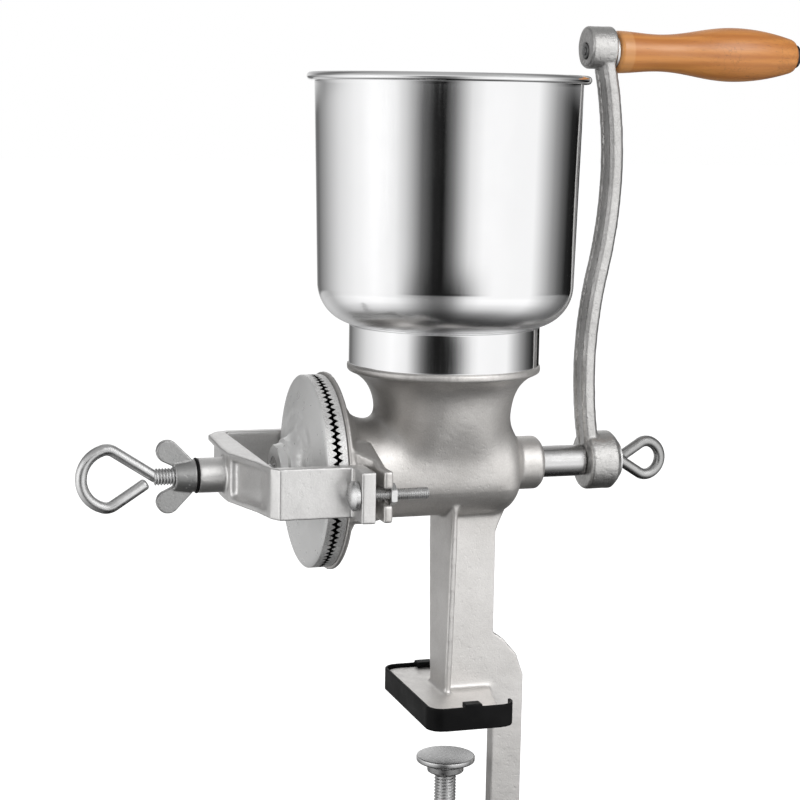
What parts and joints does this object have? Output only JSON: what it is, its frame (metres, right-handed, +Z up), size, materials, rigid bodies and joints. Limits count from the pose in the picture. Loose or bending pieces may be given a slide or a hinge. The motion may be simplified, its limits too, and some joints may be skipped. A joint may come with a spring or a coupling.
{
  "type": "malt mill",
  "caption": "Hand-cranked table-clamp burr mill with a round sheet hopper, cast body, toothed burr plates, adjusting screw and wooden crank grip.",
  "frame": {"origin": "centre of the rubber boot's underside, on the table top", "axes": "+X along the shaft towards the crank, +Y away from the viewer of the picture, +Z up along the hopper's axis"},
  "size_m": [0.3969, 0.156, 0.5165],
  "materials": {
    "tinned_casting": "satin tin over sand-cast iron",
    "polished_sheet": "mirror-polished sheet steel",
    "burr_iron": "tinned, turned face",
    "bright_casting": "bright tin, cast texture",
    "zinc_steel": "zinc-plated",
    "plain_steel": "ground",
    "black_washer": "matt black fibre",
    "dark_steel": "dark oxide",
    "lacquered_wood": "clear lacquer",
    "black_rubber": "smooth moulded"
  },
  "bodies": {
    "frame": {"mill_body": "tinned_casting", "fixed_burr": "burr_iron", "burr_locating_pins": "plain_steel", "yoke": "bright_casting", "yoke_bolts": "zinc_steel", "yoke_nuts": "zinc_steel", "foot_boot": "black_rubber"},
    "hopper": {"hopper_bowl": "polished_sheet", "hopper_collar": "polished_sheet"},
    "thrust": {"thrust_ball": "plain_steel"},
    "adjuster": {"adjusting_screw": "zinc_steel"},
    "lock_ring": {"lock_washer": "black_washer"},
    "wing_nut": {"lock_wing_nut": "bright_casting"},
    "rotor": {"feed_auger": "burr_iron", "turning_burr": "burr_iron", "burr_drive_pin": "plain_steel", "crank_arm": "bright_casting", "grip_washer": "zinc_steel", "grip_bolt": "dark_steel"},
    "screw_washer": {"crank_washer": "zinc_steel"},
    "crank_screw": {"crank_eye_screw": "zinc_steel"},
    "grip": {"handle_grip": "lacquered_wood"},
    "pad": {"clamp_pad": "zinc_steel"},
    "clamp": {"clamp_screw": "zinc_steel"}
  },
  "joints": [
    {"name": "hopper_lift", "type": "slide", "parent": "frame", "child": "hopper", "axis": [0, 0, 1], "range_m": [0, 0.02]},
    {"name": "gap_feed", "type": "slide", "parent": "frame", "child": "thrust", "axis": [-1, 0, 0], "range_m": [-0.0005, 0.002]},
    {"name": "adjust_turn", "type": "hinge", "parent": "thrust", "child": "adjuster", "pos_m": [-0.15, 0, 0.133], "axis": [-1, 0, 0], "range_deg": [-113, 451]},
    {"name": "crank_turn", "type": "hinge", "parent": "thrust", "child": "rotor", "pos_m": [0.04, 0, 0.133], "axis": [1, 0, 0], "continuous": true},
    {"name": "grip_spin", "type": "hinge", "parent": "rotor", "child": "grip", "pos_m": [0.14, 0, 0.353], "axis": [1, 0, 0], "continuous": true},
    {"name": "lock_slide", "type": "slide", "parent": "frame", "child": "lock_ring", "axis": [-1, 0, 0], "range_m": [0, 0.006]},
    {"name": "lock_turn", "type": "hinge", "parent": "lock_ring", "child": "wing_nut", "pos_m": [-0.145, 0, 0.133], "axis": [-1, 0, 0], "range_deg": [0, 1352]},
    {"name": "crank_screw_slide", "type": "slide", "parent": "rotor", "child": "screw_washer", "axis": [1, 0, 0], "range_m": [0, 0.008]},
    {"name": "crank_screw_turn", "type": "hinge", "parent": "screw_washer", "child": "crank_screw", "pos_m": [0.095, 0, 0.133], "axis": [1, 0, 0], "range_deg": [0, 2306]},
    {"name": "clamp_slide", "type": "slide", "parent": "frame", "child": "pad", "axis": [0, 0, 1], "range_m": [-0.02, 0.018]},
    {"name": "clamp_turn", "type": "hinge", "parent": "pad", "child": "clamp", "pos_m": [0, 0, -0.07], "axis": [0, 0, 1], "range_deg": [-4116, 3705]}
  ],
  "couplings": [
    {"joint": "adjust_turn", "follows": "gap_feed", "rad_per_m": 3927},
    {"joint": "lock_turn", "follows": "lock_slide", "rad_per_m": 3927},
    {"joint": "crank_screw_turn", "follows": "crank_screw_slide", "rad_per_m": 5026.5},
    {"joint": "clamp_turn", "follows": "clamp_slide", "rad_per_m": 3590.4}
  ]
}
